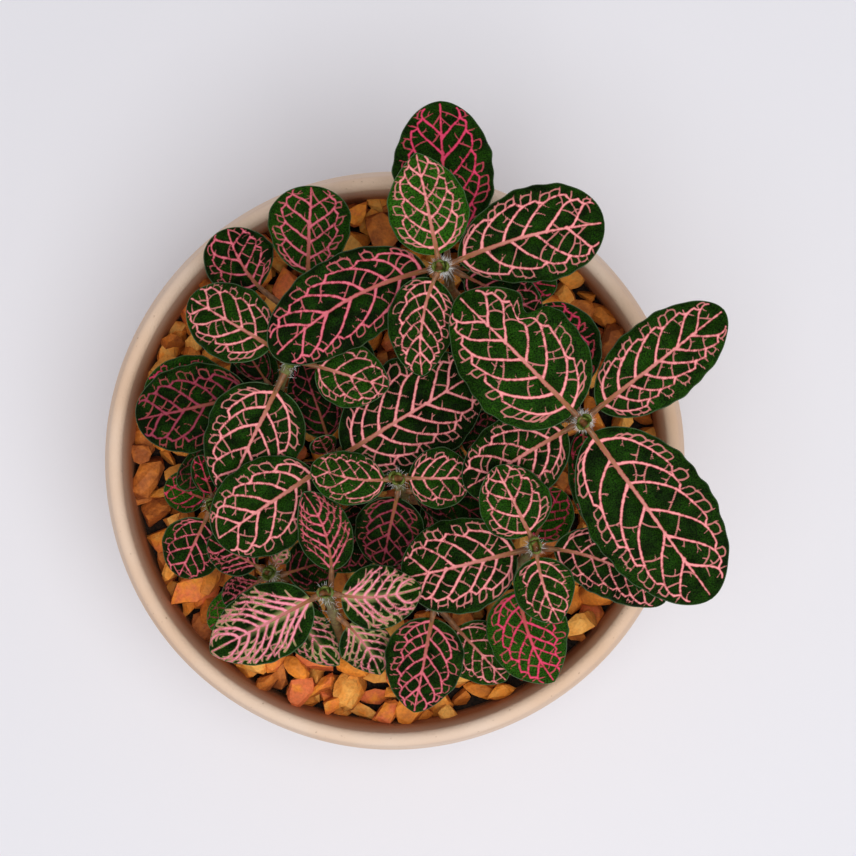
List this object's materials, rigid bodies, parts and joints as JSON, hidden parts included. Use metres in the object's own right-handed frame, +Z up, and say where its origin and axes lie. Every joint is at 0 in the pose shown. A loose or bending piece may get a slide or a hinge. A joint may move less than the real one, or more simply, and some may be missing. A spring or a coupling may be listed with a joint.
{
  "type": "potted nerve plant",
  "caption": "Pink-veined nerve plant with dark oval leaves on leaning shoots, rooted in soil under a gravel top in a shallow round unglazed ceramic bowl.",
  "frame": {"origin": "middle of the bowl's flat foot, which stands on the table", "axes": "+Z up out of the bowl; +Y toward the shoot that leans over the back of the rim; +X toward the tallest shoot, on the right as seen from the front"},
  "size_m": [0.1381, 0.1462, 0.1123],
  "materials": {
    "stoneware": "matt, fine speckle",
    "soil": "damp, crumbly",
    "gravel": "matt, broken faces",
    "stem": "satin, softly hairy",
    "leaf": "semi-matt, waxy"
  },
  "bodies": {
    "root": {"bowl": "stoneware", "soil": "soil", "gravel_bed": "gravel", "back_leaf_1": "leaf", "back_leaf_2": "leaf", "back_leaf_3": "leaf", "back_leaf_4": "leaf", "back_leaf_5": "leaf", "back_leaf_6": "leaf", "back_leaf_7": "leaf", "back_left_leaf_1": "leaf", "back_left_leaf_2": "leaf", "back_left_stem": "stem", "back_stem": "stem", "front_leaf_1": "leaf", "front_leaf_2": "leaf", "front_left_leaf_1": "leaf", "front_left_leaf_2": "leaf", "front_left_leaf_3": "leaf", "front_left_leaf_4": "leaf", "front_left_stem": "stem", "front_stem": "stem", "left_back_leaf_1": "leaf", "left_back_leaf_2": "leaf", "left_back_leaf_3": "leaf", "left_back_leaf_4": "leaf", "left_back_leaf_5": "leaf", "left_back_leaf_6": "leaf", "left_back_stem": "stem", "left_leaf_1": "leaf", "left_leaf_2": "leaf", "left_leaf_3": "leaf", "left_stem": "stem", "low_left_leaf_1": "leaf", "low_left_leaf_2": "leaf", "low_left_leaf_3": "leaf", "low_left_leaf_4": "leaf", "low_left_stem": "stem", "middle_leaf_1": "leaf", "middle_leaf_2": "leaf", "middle_leaf_3": "leaf", "middle_leaf_4": "leaf", "middle_stem": "stem", "right_front_leaf_1": "leaf", "right_front_leaf_2": "leaf", "right_front_leaf_3": "leaf", "right_front_leaf_4": "leaf", "right_front_leaf_5": "leaf", "right_front_leaf_6": "leaf", "right_front_stem": "stem", "right_leaf_1": "leaf", "right_leaf_2": "leaf", "right_leaf_3": "leaf", "right_leaf_4": "leaf", "right_leaf_5": "leaf", "right_leaf_6": "leaf", "right_stem": "stem", "rim_left_leaf_1": "leaf", "rim_left_leaf_2": "leaf", "rim_left_stem": "stem"}
  },
  "joints": []
}
